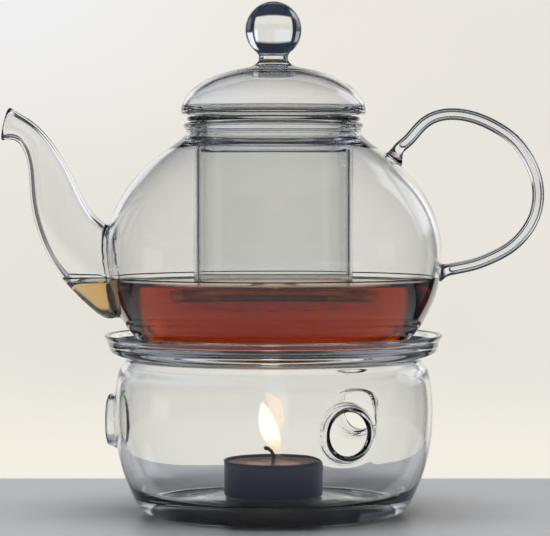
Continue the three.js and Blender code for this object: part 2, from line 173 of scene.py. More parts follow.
def duplicate(piece, name):
    copy = piece.copy()
    copy.data = piece.data.copy()
    copy.name = copy.data.name = name
    bpy.context.scene.collection.objects.link(copy)
    return copy


def soften_joints(piece, sharpness, passes):
    """Melts the edges where two blown shapes were fused into a small fillet."""
    activate(piece)
    bpy.ops.object.mode_set(mode="EDIT")
    bpy.ops.mesh.select_mode(type="EDGE")
    bpy.ops.mesh.select_all(action="DESELECT")
    bpy.ops.mesh.edges_select_sharp(sharpness=math.radians(sharpness))
    bpy.ops.mesh.select_mode(type="VERT")
    for _ in range(FILLET_SPREAD):
        bpy.ops.mesh.select_more()
    bpy.ops.mesh.vertices_smooth(factor=0.5, repeat=passes)
    bpy.ops.object.mode_set(mode="OBJECT")
    bpy.ops.object.shade_smooth()
    return piece


def oval(widest, end, rise):
    """Half height of the oval that is `widest` across at 0 and `end` at height `rise`."""
    return rise / math.sqrt(1 - (end / widest) ** 2)


def arc(centre, radius, start, end, steps):
    """Points of a round arc, angles in degrees."""
    angles = [math.radians(start + (end - start) * i / steps) for i in range(steps + 1)]
    return [(centre[0] + radius * math.cos(a), centre[1] + radius * math.sin(a)) for a in angles]


def spaced(start, end, steps):
    return [start + (end - start) * i / steps for i in range(steps + 1)]


# ---- Sizes, in mm, from the frame -------------------------------------------


def low(node, axis):
    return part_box(node)[0][axis] / MM


def high(node, axis):
    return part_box(node)[1][axis] / MM


Y, Z = 1, 2

WALL = 2.0
POT_BASE = low("pot_bowl", Z)
POT_TOP = high("pot_bowl", Z)
POT_RADIUS = high("pot_bowl", Y) + 0.1
POT_BASE_RADIUS = 49.5
POT_BELLY = POT_BASE + 36.1
NECK_FLARE = high("pot_neck", Y)
NECK_BASE = low("pot_neck", Z)
NECK_TOP = high("pot_neck", Z)
NECK_RADIUS = 33.5
NECK_INNER = 31.2
INFUSER_RADIUS = high("infuser_tube", Y)
INFUSER_BOTTOM = low("infuser_tube", Z)
INFUSER_RIM = high("infuser_rim", Z)
LID_EDGE = low("lid_dome", Z)
LID_TOP = high("lid_dome", Z)
LID_RADIUS = high("lid_dome", Y)
PLUG_RADIUS = 28.0
PLUG_BOTTOM = low("lid_plug", Z)
KNOB_TOP = high("lid_knob", Z)
KNOB_RADIUS = 10.8
TRAY_TOP = high("warmer_tray", Z)
TRAY_RADIUS = high("warmer_tray", Y)
WARMER_TOP = high("warmer_bowl", Z)
WARMER_RADIUS = high("warmer_bowl", Y)
WARMER_BELLY = WARMER_TOP - 20
WARMER_FOOT_RADIUS = WARMER_RADIUS - 11.2
WARMER_SHOULDER_RADIUS = WARMER_RADIUS - 1.8
WARMER_SHOULDER_RISE = 17
WARMER_WALL_GROWS_BELOW = 46
WARMER_WALL_GROWTH = 0.0008  # per mm, times the square of the depth below that height
VENT_HEIGHT = (low("vent_ring_left", Z) + high("vent_ring_left", Z)) / 2
CUP_BASE = low("tealight_cup", Z)
CUP_RIM = high("tealight_cup", Z)
TEA_LEVEL = 88.4


def pot_radius(z, inset=0.0):
    belly = POT_RADIUS - inset
    below = z < POT_BELLY
    end = POT_BASE_RADIUS - inset if below else NECK_FLARE - inset
    rise = POT_BELLY - POT_BASE if below else POT_TOP - POT_BELLY
    return belly * math.sqrt(1 - ((z - POT_BELLY) / oval(belly, end, rise)) ** 2)


def warmer_radius(z):
    below = z < WARMER_BELLY
    end = WARMER_FOOT_RADIUS if below else WARMER_SHOULDER_RADIUS
    rise = WARMER_BELLY if below else WARMER_SHOULDER_RISE
    return WARMER_RADIUS * math.sqrt(1 - ((z - WARMER_BELLY) / oval(WARMER_RADIUS, end, rise)) ** 2)


def warmer_wall(z):
    """Thickness of the bowl's wall, which grows toward the foot."""
    return WALL + WARMER_WALL_GROWTH * max(WARMER_WALL_GROWS_BELOW - z, 0) ** 2


# ---- Pot --------------------------------------------------------------------

# Distances in mm. Stations run out from the belly and up from the pot's base; the spout's have an
# outer radius as well.
SPOUT = [
    (-13, 20.5, 15.6),
    (-7.5, 24.6, 15.1),
    (-2, 28.6, 14.6),
    (3, 33, 14.2),
    (7.5, 37.4, 13.5),
    (11.2, 41.6, 12.6),
    (14.2, 46.2, 11.6),
    (17.8, 54.2, 10.4),
    (19.9, 62.6, 9.1),
    (22.2, 70.7, 7),
    (25.4, 77.7, 5.5),
    (29.2, 82.6, 4.9),
    (32.6, 84.6, 5.0),
    (35.3, 85.5, 5.6),
]
SPOUT_LIP = [(36.9, 85.9, 6.3), (37.7, 86.1, 6.6), (38.1, 86.2, 6.1), (38.2, 86.22, 4)]
BORE_MOUTH = [(36.9, 85.9, 4.9), (37.9, 86.15, 5.8), (40.5, 86.8, 7.6)]
SPOUT_WALL = 1.6
SPOUT_ROOT_THICKENING = 0.55  # share of the wall added at the spout's root
SPOUT_ROOT = 32  # height where the wall is thickest
SPOUT_SLIM = 66  # height where it is thin again
SPOUT_FLATTENING = 0.92
HANDLE = [
    (-13.5, 79.2),
    (-6.1, 87.4),
    (3.3, 90.0),
    (15.3, 87.5),
    (28.3, 79.2),
    (35.9, 65.6),
    (35.7, 51.7),
    (27.8, 40.2),
    (15.3, 33.4),
    (6, 31.0),
]
ROD_RADIUS = 2.3
BORE_RADIUS = 1.05


def spout_stations(wall, mouth):
    """The spout's outside, or its inside when there is a wall, which thickens toward its root."""
    stations = []
    for out, up, radius in SPOUT:
        depth = min(max((SPOUT_SLIM - up) / (SPOUT_SLIM - SPOUT_ROOT), 0), 1)
        inset = wall * (1 + SPOUT_ROOT_THICKENING * depth)
        stations.append((-(POT_RADIUS + out), POT_BASE + up, radius - inset))
    for out, up, radius in mouth:
        stations.append((-(POT_RADIUS + out), POT_BASE + up, radius))
    return stations


def pot_outside():
    flank = [(pot_radius(z), z) for z in spaced(POT_BASE + 7, POT_TOP - 4, 13)]
    return turned(
        "pot_glass",
        [
            (0, POT_BASE),
            (15, POT_BASE),
            (30, POT_BASE),
            (40, POT_BASE),
            (45.5, POT_BASE + 0.1),
            (48.9, POT_BASE + 0.8),
            (51.0, POT_BASE + 3.2),
            *flank,
            (pot_radius(POT_TOP - 1.5), POT_TOP - 1.5),
            (NECK_RADIUS + 1.6, NECK_BASE + 0.5),
            (NECK_RADIUS + 0.3, NECK_BASE + 1.7),
            (NECK_RADIUS, NECK_BASE + 3),
            (NECK_RADIUS + 0.1, NECK_TOP - 2.4),
            (NECK_RADIUS + 0.8, NECK_TOP - 1.8),
            (NECK_RADIUS + 1.1, NECK_TOP - 1.0),
            (NECK_RADIUS + 0.7, NECK_TOP - 0.2),
            (NECK_RADIUS - 0.3, NECK_TOP),
            (NECK_INNER + 0.6, NECK_TOP),
            (NECK_INNER - 3, NECK_TOP),
            (15, NECK_TOP),
            (0, NECK_TOP),
        ],
    )


def pot_inside():
    floor = POT_BASE + 2.4
    flank = [(pot_radius(z, WALL), z) for z in spaced(POT_BASE + 8, POT_TOP - 5, 13)]
    return turned(
        "pot_inside",
        [
            (0, floor),
            (15, floor),
            (30, floor),
            (40, floor + 0.05),
            (45, floor + 0.5),
            (48, floor + 2.2),
            *flank,
            (pot_radius(POT_TOP - 2.4, WALL), POT_TOP - 2.4),
            (NECK_INNER + 0.7, POT_TOP - 0.4),
            (NECK_INNER, POT_TOP + 1.4),
            (NECK_INNER, NECK_TOP - 2.5),
            (NECK_INNER, NECK_TOP - 1.2),
            (NECK_INNER + 0.5, NECK_TOP - 0.4),
            (NECK_INNER + 1.6, NECK_TOP + 0.2),
            (NECK_INNER + 4, NECK_TOP + 1),
            (NECK_INNER + 5, NECK_TOP + 5),
            (20, NECK_TOP + 6),
            (0, NECK_TOP + 6),
        ],
    )


def handle_rod():
    foot = [(pot_radius(POT_BASE + up) - 1.0, POT_BASE + up) for up in (72.2, 29.6)]
    spots = [(POT_RADIUS + out, POT_BASE + up, ROD_RADIUS) for out, up in HANDLE]
    upper, lower = foot
    start = (upper[0] + 2.6, upper[1] + 5.0, ROD_RADIUS)
    end = (lower[0] + 3.6, lower[1] + 0.7, ROD_RADIUS)
    stations = [
        (upper[0] - 1.0, upper[1] - 2.2, 4.6),
        (upper[0] + 0.1, upper[1], 4.1),
        (upper[0] + 0.8, upper[1] + 1.5, 3.3),
        (upper[0] + 1.7, upper[1] + 3.1, 2.5),
        *along([start, *spots, end], 30),
        (lower[0] + 2.4, lower[1] + 0.4, 2.5),
        (lower[0] + 1.2, lower[1] + 0.1, 3.1),
        (lower[0] + 0.2, lower[1] - 0.1, 3.8),
        (lower[0] - 0.9, lower[1] - 0.4, 4.4),
    ]
    bore = [(x, z, BORE_RADIUS) for x, z, _ in stations[4:-4]]
    return tube("handle_rod", stations, sides=12), tube("handle_bore", bore, sides=12)


FINE_STEPS = 16


def along(points, steps):
    """Evenly spaced stations on a smooth line through a few (x, z, radius)."""
    ends = [points[0], *points, points[-1]]
    fine = []
    for before, start, end, after in zip(ends, ends[1:], ends[2:], ends[3:]):
        for i in range(FINE_STEPS):
            t = i / FINE_STEPS
            weights = (
                -t + 2 * t**2 - t**3,
                2 - 5 * t**2 + 3 * t**3,
                t + 4 * t**2 - 3 * t**3,
                -(t**2) + t**3,
            )
            corners = zip(before, start, end, after)
            fine.append([sum(w * v for w, v in zip(weights, corner)) / 2 for corner in corners])
    fine.append(points[-1])
    lengths = [0.0]
    for p, q in zip(fine, fine[1:]):
        lengths.append(lengths[-1] + math.dist(p[:2], q[:2]))
    stations = []
    j = 0
    for i in range(steps + 1):
        wanted = lengths[-1] * i / steps
        while j < len(fine) - 2 and lengths[j + 1] < wanted:
            j += 1
        t = (wanted - lengths[j]) / (lengths[j + 1] - lengths[j])
        stations.append(tuple(p + (q - p) * t for p, q in zip(fine[j], fine[j + 1])))
    return stations


def make_pot():
    pot = pot_outside()
    outside = spout_stations(0, SPOUT_LIP)
    boolean(pot, "UNION", tube("spout_outside", outside, flattening=SPOUT_FLATTENING))
    rod, rod_bore = handle_rod()
    boolean(pot, "UNION", rod)
    soften_joints(pot, sharpness=20, passes=10)
    inside = pot_inside()
    bore = spout_stations(SPOUT_WALL, BORE_MOUTH)
    boolean(inside, "UNION", tube("spout_bore", bore, flattening=SPOUT_FLATTENING))
    soften_joints(inside, sharpness=20, passes=10)
    tea = duplicate(inside, "tea")
    boolean(pot, "DIFFERENCE", inside)
    boolean(pot, "DIFFERENCE", rod_bore)
    activate(pot)
    bpy.ops.object.shade_smooth_by_angle(angle=math.radians(60))
    return pot, tea


# Overlap of tea and glass, so that no air is left between them.
TEA_IN_WALL = 0.8
TEA_IN_INFUSER = 0.4

# The tea's raised edge: its height, then the steps down from the wall, as (width, drop).
EDGE_RISE = 2.4
EDGE_STEPS = ((0.9, 0.4), (0.3, 0.7), (0.5, 0.6), (0.8, 0.4), (1.1, 0.2), (1.5, 0.1))


def make_tea(tea, infuser_core):
    """The pot's inside, pushed a little into the glass and cut off level, with a raised edge."""
    activate(tea)
    bpy.ops.object.mode_set(mode="EDIT")
    bpy.ops.mesh.select_all(action="SELECT")
    bpy.ops.transform.shrink_fatten(value=TEA_IN_WALL * MM)
    bpy.ops.mesh.select_all(action="SELECT")
    bpy.ops.mesh.bisect(
        plane_co=(0, 0, (TEA_LEVEL + EDGE_RISE) * MM),
        plane_no=UP,
        use_fill=True,
        clear_outer=True,
    )
    for width, drop in EDGE_STEPS:
        bpy.ops.mesh.inset(thickness=width * MM, depth=-drop * MM)
    bpy.ops.object.mode_set(mode="OBJECT")
    boolean(tea, "DIFFERENCE", infuser_core)
    activate(tea)
    bpy.ops.object.shade_smooth_by_angle(angle=math.radians(12))
    return tea


# ---- Infuser and lid ----------------------------------------------------------


DRAIN_RADIUS = 1.6
DRAIN_CIRCLES = ((6, 9.0), (12, 19.0))  # number of drains, and radius of their circle


def make_infuser():
    """The infuser's glass, with drains in its floor, and a slimmer one to cut out of the tea."""
    outer, inner = INFUSER_RADIUS, INFUSER_RADIUS - WALL
    base, rim = INFUSER_BOTTOM, INFUSER_RIM
    cup = turned(
        "infuser_glass",
        [
            (0, base),
            (14, base),
            (24, base),
            (28.2, base + 0.1),
            (29.9, base + 0.9),
            (outer, base + 2.8),
            (outer, base + 8),
            *[(outer, z) for z in spaced(base + 16, rim - 8, 4)],
            (outer, rim - 4),
            (outer + 0.1, rim - 2.6),
            (outer + 0.9, rim - 1.9),
            (outer + 2.1, rim - 1.8),
            (outer + 2.7, rim - 1.2),
            (outer + 2.6, rim - 0.4),
            (outer + 1.8, rim),
            (outer + 0.2, rim),
            (inner + 0.7, rim - 0.3),
            (inner + 0.1, rim - 1.4),
            (inner, rim - 4),
            *[(inner, z) for z in spaced(rim - 8, base + 16, 4)],
            (inner, base + 8),
            (inner, base + 4),
            (inner - 0.7, base + 2.4),
            (inner - 2.4, base + 1.9),
            (22, base + 1.8),
            (12, base + 1.8),
            (0, base + 1.8),
        ],
    )
    core = duplicate(cup, "infuser_core")
    activate(core)
    bpy.ops.object.mode_set(mode="EDIT")
    bpy.ops.mesh.select_all(action="SELECT")
    bpy.ops.transform.shrink_fatten(value=-TEA_IN_INFUSER * MM)
    bpy.ops.object.mode_set(mode="OBJECT")
    for count, circle in DRAIN_CIRCLES:
        for i in range(count):
            deselect()
            angle = i / count * 2 * math.pi
            spot = Vector((circle * math.cos(angle), circle * math.sin(angle), base + 1))
            bpy.ops.mesh.primitive_cylinder_add(
                vertices=24,
                radius=DRAIN_RADIUS * MM,
                depth=8 * MM,
                location=spot * MM,
            )
            drain = bpy.context.active_object
            bpy.ops.object.transform_apply(location=True, rotation=True, scale=True)
            boolean(cup, "DIFFERENCE", drain)
    activate(cup)
    bpy.ops.object.shade_smooth_by_angle(angle=math.radians(50))
    return cup, core


def make_lid():
    ball = KNOB_TOP - KNOB_RADIUS
    top, edge, belly = LID_TOP, LID_EDGE, LID_EDGE + 2
    wide = LID_RADIUS

    def dome(angle, inset):
        a = math.radians(angle)
        return ((wide - inset) * math.cos(a), belly + (top - belly - inset) * math.sin(a))

    return turned(
        "lid_glass",
        [
            *arc((0, ball), KNOB_RADIUS * 1.008, 90, -58, 13),
            (5.6, ball - 10.2),
            (5.6, ball - 11.4),
            (6.2, top + 1.2),
            (7.6, top + 0.1),
            *[dome(angle, 0) for angle in (74, 68, 60, 52, 44, 36, 28, 20, 12, 4)],
            (wide, belly - 0.7),
            (wide - 0.4, edge + 0.5),
            (wide - 1.4, edge),
            (32.4, edge + 0.2),
            (30.4, edge + 0.1),
            (28.9, edge - 0.1),
            (PLUG_RADIUS + 0.1, edge - 0.8),
            (PLUG_RADIUS, edge - 3),
            (PLUG_RADIUS, edge - 8),
            (PLUG_RADIUS, PLUG_BOTTOM + 2),
            (PLUG_RADIUS - 0.1, PLUG_BOTTOM + 0.6),
            (PLUG_RADIUS - 0.8, PLUG_BOTTOM),
            (PLUG_RADIUS - 1.6, PLUG_BOTTOM + 0.5),
            (PLUG_RADIUS - 1.8, PLUG_BOTTOM + 2),
            (PLUG_RADIUS - 1.8, edge - 8),
            (PLUG_RADIUS - 1.8, edge - 2),
            (PLUG_RADIUS - 1.4, edge + 0.5),
            (PLUG_RADIUS + 0.2, edge + 1.1),
            (30.6, edge + 1.2),
            (32.2, edge + 1.4),
            *[dome(angle, 1.8) for angle in (3, 9, 15, 22, 30, 40, 50, 60, 70, 80)],
            (0, top - 1.8),
        ],
    )


# ---- Warmer -------------------------------------------------------------------

VENTS = {"vent_ring_front": 26, "vent_ring_back": 146, "vent_ring_left": 266}  # degrees round Z
DRILL_RADIUS = 9.9  # the ring's bore is narrower, so it covers the drilled edge


def vent_tool(outline, turn, name):
    """A solid of revolution laid on its side and turned to face out of the bowl."""
    ring = turned(name, outline, steps=32, levels=2)
    ring.rotation_euler = (math.pi / 2, 0, math.radians(turn))
    ring.location = (0, 0, VENT_HEIGHT * MM)
    activate(ring)
    bpy.ops.object.transform_apply(location=True, rotation=True, scale=True)
    return ring


def make_warmer():
    top = WARMER_TOP
    tray = TRAY_TOP
    flank_out = [(warmer_radius(z), z) for z in spaced(8, top - 5.5, 9)]
    flank_in = [(warmer_radius(z) - warmer_wall(z), z) for z in spaced(top - 6, 9, 12)]
    warmer = turned(
        "warmer_glass",
        [
            (0, 3.3),
            (12, 3.3),
            (21, 3.2),
            (26, 2.6),
            (34, 1.1),
            (41, 0.2),
            (44.2, 0),
            (47.2, 0),
            (50.2, 1.1),
            (52.7, 4.0),
            *flank_out,
            (59.2, top - 3.0),
            (58.4, top - 1.2),
            (57.0, top + 0.1),
            (56.2, top + 1.3),
            (56.9, top + 2.1),
            (58.8, top + 2.3),
            (61.0, top + 2.8),
            (62.6, top + 4.1),
            (63.2, top + 5.9),
            (63.6, top + 7.8),
            (64.0, tray - 1.9),
            (64.5, tray - 1.2),
            (TRAY_RADIUS + 0.1, tray - 0.6),
            (TRAY_RADIUS - 0.1, tray - 0.1),
            (64.0, tray),
            (63.0, tray - 0.3),
            (62.3, tray - 1.1),
            (61.9, tray - 2.4),
            (61.4, top + 8.0),
            (60.2, top + 6.3),
            (58.0, top + 5.3),
            (54.8, top + 4.8),
            (50, top + 4.6),
            (46, top + 4.55),
            (44.3, top + 4.1),
            (44.0, top + 3.4),
            (44.4, top + 2.6),
            (46, top + 2.3),
            (50, top + 2.3),
            (53.0, top + 2.0),
            (54.1, top + 1.0),
            (54.7, top - 0.6),
            (56.0, top - 2.0),
            (57.1, top - 4.0),
            *flank_in,
            (48.2, 6.4),
            (46.0, 4.6),
            (43, 3.1),
            (40, 2.7),
            (35, 3.1),
            (29, 4.6),
            (24.5, 5.3),
            (12, 5.3),
            (0, 5.3),
        ],
        steps=52,
    )
    wall = warmer_radius(VENT_HEIGHT)
    ring = [
        (11.6, wall - 2.1),
        (11.1, wall - 1.1),
        (10.7, wall - 0.2),
        (10.3, wall + 0.8),
        (10.0, wall + 1.7),
        (9.7, wall + 2.4),
        (9.1, wall + 2.7),
        (8.5, wall + 2.55),
        (8.1, wall + 1.9),
        (8.0, wall + 1.0),
        (8.2, wall - 0.1),
        (8.7, wall - 1.2),
        (9.5, wall - 2.2),
        (10.4, wall - 2.8),
        (11.2, wall - 2.9),
    ]
    drill = [
        (0, wall - 12),
        (DRILL_RADIUS, wall - 12),
        (DRILL_RADIUS, wall + 6),
        (0, wall + 6),
    ]
    for name, turn in VENTS.items():
        boolean(warmer, "DIFFERENCE", vent_tool(drill, turn, name + "_hole"))
        boolean(warmer, "UNION", vent_tool(ring, turn, name + "_glass"))
    soften_joints(warmer, sharpness=18, passes=8)
    activate(warmer)
    bpy.ops.object.shade_smooth_by_angle(angle=math.radians(60))
    return warmer


# ---- Tealight and flame -------------------------------------------------------

CUP_RADIUS = 19.0
WAX_TOP = CUP_RIM - 1.3
SUSTAINER_TOP = high("wick_sustainer", Z)


def make_cup():
    base, rim, outer = CUP_BASE, CUP_RIM, CUP_RADIUS
    return turned(
        "tealight_cup_foil",
        [
            (0, base + 0.5),
            (9, base + 0.5),
            (13, base + 0.3),
            (14.2, base),
            (17.8, base),
            (18.7, base + 0.15),
            (outer, base + 0.7),
            (outer, base + 2),
            (outer, base + 7),
            (outer, rim - 1.6),
            (outer, rim - 0.9),
            (outer + 0.2, rim - 0.5),
            (outer + 0.25, rim - 0.1),
            (outer, rim + 0.05),
            (outer - 0.4, rim - 0.2),
            (outer - 0.45, rim - 1.2),
            (outer - 0.45, base + 7),
            (outer - 0.45, base + 2.4),
            (outer - 0.9, base + 1.2),
            (outer - 2.2, base + 0.9),
            (13, base + 1.0),
            (0, base + 1.0),
        ],
    )


def make_wax():
    """Solid wax at the cup's wall, and a pool of molten wax round the wick."""
    floor = CUP_BASE + 1.2
    edge = CUP_RADIUS - 0.6
    return turned(
        "candle_wax",
        [
            (1.0, floor),
            (8, floor),
            (edge - 2, floor),
            (edge - 0.6, floor + 0.5),
            (edge, floor + 2),
            (edge, WAX_TOP - 2),
            (edge, WAX_TOP - 0.1),
            (edge - 0.3, WAX_TOP + 0.3),
            (edge - 1.2, WAX_TOP + 0.15),
            (edge - 2.4, WAX_TOP + 0.1),
            (edge - 3.4, WAX_TOP - 0.15),
            (edge - 4.2, WAX_TOP - 0.45),
            (12, WAX_TOP - 0.5),
            (6, WAX_TOP - 0.5),
            (2.4, WAX_TOP - 0.45),
            (1.0, WAX_TOP - 0.1),
            (0.75, WAX_TOP + 0.1),
            (0.7, WAX_TOP - 1),
            (0.7, floor + 6),
            (0.9, floor + 5),
            (1.0, floor + 3),
        ],
        levels=1,
    )


def make_sustainer():
    low_z, high_z = low("wick_sustainer", Z), SUSTAINER_TOP
    return turned(
        "wick_holder",
        [
            (0.9, low_z),
            (6, low_z),
            (6.5, low_z + 0.1),
            (6.5, low_z + 0.4),
            (6.0, low_z + 0.5),
            (2.3, low_z + 0.5),
            (1.7, low_z + 0.9),
            (1.5, low_z + 2),
            (1.2, high_z),
            (0.9, high_z),
        ],
        steps=32,
        levels=1,
    )


WICK = [
    (0, 7.0),
    (0, 10.0),
    (0, 13.0),
    (-0.2, 16.0),
    (-0.2, 18.3),
    (0.05, 20.1),
    (0.0, 21.4),
    (-0.5, 22.6),
    (-1.3, 23.5),
    (-2.2, 24.0),
    (-3.0, 24.2),
    (-3.7, 24.3),
]


WICK_RADIUS = 0.7
WICK_TIP_RADII = (0.8, 0.95, 0.55)  # a bead of soot at the end


def make_wick():
    radii = [WICK_RADIUS] * (len(WICK) - len(WICK_TIP_RADII)) + list(WICK_TIP_RADII)
    stations = [(x, z, radius) for (x, z), radius in zip(WICK, radii)]
    wick = tube("charred_wick", stations, sides=12, levels=2)
    activate(wick)
    plies = bpy.data.textures.new("wick_plies", "CLOUDS")
    plies.noise_scale = 0.0009
    grain = wick.modifiers.new("plies", "DISPLACE")
    grain.texture = plies
    grain.strength = 0.35 * MM
    grain.mid_level = 0.6
    bpy.ops.object.modifier_apply(modifier=grain.name)
    bpy.data.textures.remove(plies)
    return wick


# Flame: x of the middle, height, and half width, for its main lobe and its fainter one.
FLAME = [
    (2.1, 20.8, 0.5),
    (1.7, 22.6, 1.3),
    (0.7, 25.2, 2.5),
    (-0.4, 28.0, 3.3),
    (-1.5, 31.0, 3.5),
    (-2.3, 33.8, 3.4),
    (-3.2, 37.4, 2.7),
    (-3.8, 40.0, 1.6),
    (-4.5, 42.4, 0.3),
]
FLAME_LOBE = [
    (2.5, 31.0, 0.8),
    (2.2, 34.0, 1.9),
    (1.7, 37.4, 2.6),
    (1.0, 40.6, 3.0),
    (0.0, 43.0, 2.5),
    (-1.4, 45.2, 1.5),
    (-2.9, 47.8, 0.3),
]
FLAME_SHELLS = (1.0, 0.94, 0.88, 0.82, 0.76, 0.7, 0.6)
FLAME_STEPS = 14


def make_flame(name, lobe):
    """Thin glowing skins one inside another, so that the flame fades out at its edge."""
    shells = []
    middle = sum(z for _, z, _ in lobe) / len(lobe)
    for i, share in enumerate(FLAME_SHELLS):
        stations = []
        for x, z, radius in along(lobe, FLAME_STEPS):
            stations.append((x, middle + (z - middle) * share, radius * share))
        shells.append(tube(f"{name}_{i}", stations, sides=12, levels=2))
    deselect()
    for shell in shells:
        shell.select_set(True)
    bpy.context.view_layer.objects.active = shells[0]
    bpy.ops.object.join()
    shells[0].name = shells[0].data.name = name
    return shells[0]


# ---- Shader helpers -----------------------------------------------------------


class Flow:
    """One socket of a node tree. Maths on it adds the nodes for that maths."""

    def __init__(self, tree, socket):
        self.tree = tree
        self.socket = socket

    def node(self, kind, settings, sockets, out=0):
        """A node of the same tree fed with numbers, colours or other flows."""
        made = self.tree.nodes.new("ShaderNode" + kind)
        for name, value in settings.items():
            setattr(made, name, value)
        for name, value in sockets.items():
            if isinstance(value, Flow):
                self.tree.links.new(value.socket, made.inputs[name])
            else:
                made.inputs[name].default_value = value
        return Flow(self.tree, made.outputs[out])

    def maths(self, operation, *values):
        return self.node("Math", {"operation": operation}, dict(enumerate(values)))

    def __add__(self, other):
        return self.maths("ADD", self, other)

    def __radd__(self, other):
        return self.maths("ADD", other, self)

    def __sub__(self, other):
        return self.maths("SUBTRACT", self, other)

    def __rsub__(self, other):
        return self.maths("SUBTRACT", other, self)

    def __mul__(self, other):
        return self.maths("MULTIPLY", self, other)

    def __rmul__(self, other):
        return self.maths("MULTIPLY", other, self)

    def __abs__(self):
        return self.maths("ABSOLUTE", self)

    def band(self, start, end):
        """0 at start, 1 at end, and smooth between them."""
        return self.node(
            "MapRange",
            {"interpolation_type": "SMOOTHSTEP"},
            {"Value": self, "From Min": start, "From Max": end},
        )

    def split(self):
        parts = self.node("SeparateXYZ", {}, {0: self})
        sockets = parts.socket.node.outputs
        return [Flow(self.tree, socket) for socket in sockets]

    def noise(self, scale, detail=2.0):
        return self.node("TexNoise", {}, {"Vector": self, "Scale": scale, "Detail": detail})

    def mix(self, first, second):
        """Colour from first to second as this flow goes from 0 to 1."""
        return self.node("Mix", {"data_type": "RGBA"}, {0: self, 6: first, 7: second}, out=2)


def colour(red, green, blue):
    return (red, green, blue, 1.0)


def material(name, **values):
    """A plain Principled material. Values are socket names with underscores for spaces."""
    made = bpy.data.materials.new(name)
    made.use_nodes = True
    shader = made.node_tree.nodes["Principled BSDF"]
    for socket, value in values.items():
        shader.inputs[socket.replace("_", " ")].default_value = value
    return made


def place(made):
    """Object coordinates of a material, in metres."""
    coordinates = made.node_tree.nodes.new("ShaderNodeTexCoord")
    return Flow(made.node_tree, coordinates.outputs["Object"])


def feed(made, **flows):
    shader = made.node_tree.nodes["Principled BSDF"]
    for socket, flow in flows.items():
        made.node_tree.links.new(flow.socket, shader.inputs[socket.replace("_", " ")])


def bump(flow, strength, distance):
    return flow.node("Bump", {}, {"Height": flow, "Strength": strength, "Distance": distance})


def absorb(made, shade, density):
    """Colour that deepens with the thickness looked through."""
    tree = made.node_tree
    volume = tree.nodes.new("ShaderNodeVolumeAbsorption")
    volume.inputs["Color"].default_value = shade
    volume.inputs["Density"].default_value = density
    tree.links.new(volume.outputs[0], tree.nodes["Material Output"].inputs["Volume"])


# ---- Materials ------------------------------------------------------------------

GLASS_INDEX = 1.47
TEA_INDEX = 1.33


def glass(name, shade, density, ripple):
    """Hand blown glass: clear, a little grey where it is thick, its surface never quite even."""
    made = material(
        name,
        Base_Color=colour(0.975, 0.982, 0.985),
        Roughness=0.0,
        IOR=GLASS_INDEX,
        Transmission_Weight=1.0,
    )
    at = place(made)
    feed(made, Normal=bump(at.noise(38.0, 1.0), ripple, 0.0006))
    absorb(made, shade, density)
    return made


def paint(piece, made):
    piece.data.materials.clear()
    piece.data.materials.append(made)


def tea_material():
    made = material(
        "black_tea",
        Base_Color=colour(1.0, 1.0, 1.0),
        Roughness=0.0,
        IOR=TEA_INDEX,
        Transmission_Weight=1.0,
    )
    absorb(made, colour(0.857, 0.5625, 0.0), 80.0)
    return made


def cup_material():
    # Painted shade: the foil cup is coloured dark blue-black, the shade it shows against the light,
    # so that it stays dark from every side.
    made = material(
        "foil_cup_painted_shade",
        Metallic=0.25,
        Roughness=0.38,
        Coat_Weight=0.3,
        Coat_Roughness=0.2,
    )
    at = place(made)
    mottle = at.noise(420.0, 3.0)
    feed(
        made,
        Base_Color=mottle.mix(colour(0.006, 0.036, 0.140), colour(0.018, 0.056, 0.180)),
        Roughness=0.3 + mottle * 0.2,
        Normal=bump(at.noise(900.0, 2.0), 0.15, 0.0002),
    )
    return made


def wax_material():
    """Molten and darker in the middle, pale and dull where it is still solid."""
    made = material(
        "red_brown_wax",
        Subsurface_Weight=0.25,
        Subsurface_Scale=0.004,
        Specular_IOR_Level=0.3,
    )
    at = place(made)
    x, y, _ = at.split()
    from_wick = x.maths("SQRT", x * x + y * y)
    ragged = from_wick + (at.noise(160.0, 3.0) - 0.5) * 0.0022
    solid = ragged.band(0.0096, 0.0114)
    feed(
        made,
        Base_Color=solid.mix(colour(0.27, 0.105, 0.065), colour(0.42, 0.30, 0.26)),
        Roughness=0.25 + solid * 0.3,
        Normal=bump(at.noise(240.0, 2.0) * solid, 0.3, 0.0004),
    )
    return made


def wick_material():
    made = material("charred_cotton", Roughness=0.95)
    at = place(made)
    height = at.split()[Z]
    burnt = height.band(0.0185, 0.0205)
    feed(
        made,
        Base_Color=burnt.mix(colour(0.35, 0.24, 0.16), colour(0.012, 0.010, 0.009)),
        Normal=bump(at.noise(2400.0, 3.0), 0.8, 0.0003),
    )
    return made


def sustainer_material():
    made = material("tinplate", Base_Color=colour(0.55, 0.55, 0.54), Metallic=1.0)
    feed(made, Roughness=0.28 + place(made).noise(700.0, 2.0) * 0.25)
    return made


FLAME_ROOT_ALPHA = 0.12  # the flame is clearest just above the wick


def flame_material(name, core, root, strength, alpha):
    made = material(
        name,
        Base_Color=colour(0.0, 0.0, 0.0),
        Roughness=1.0,
        Specular_IOR_Level=0.0,
        Emission_Strength=strength,
    )
    height = place(made).split()[Z]
    rise = height.band(0.0225, 0.031)
    feed(
        made,
        Emission_Color=rise.mix(root, core),
        Alpha=FLAME_ROOT_ALPHA * alpha + rise * ((1 - FLAME_ROOT_ALPHA) * alpha),
    )
    return made


def table_material():
    made = material("table_top", Roughness=0.42)
    at = place(made)
    cloud = at.noise(2.2, 2.0)
    feed(
        made,
        Base_Color=cloud.mix(colour(0.48, 0.495, 0.52), colour(0.52, 0.53, 0.545)),
        Roughness=0.36 + at.noise(9.0, 2.0) * 0.1,
    )
    return made


# ---- Pieces on their bodies -------------------------------------------------------


def belongs(piece, body, nodes=()):
    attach(piece, body)
    if nodes:
        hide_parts(*nodes)


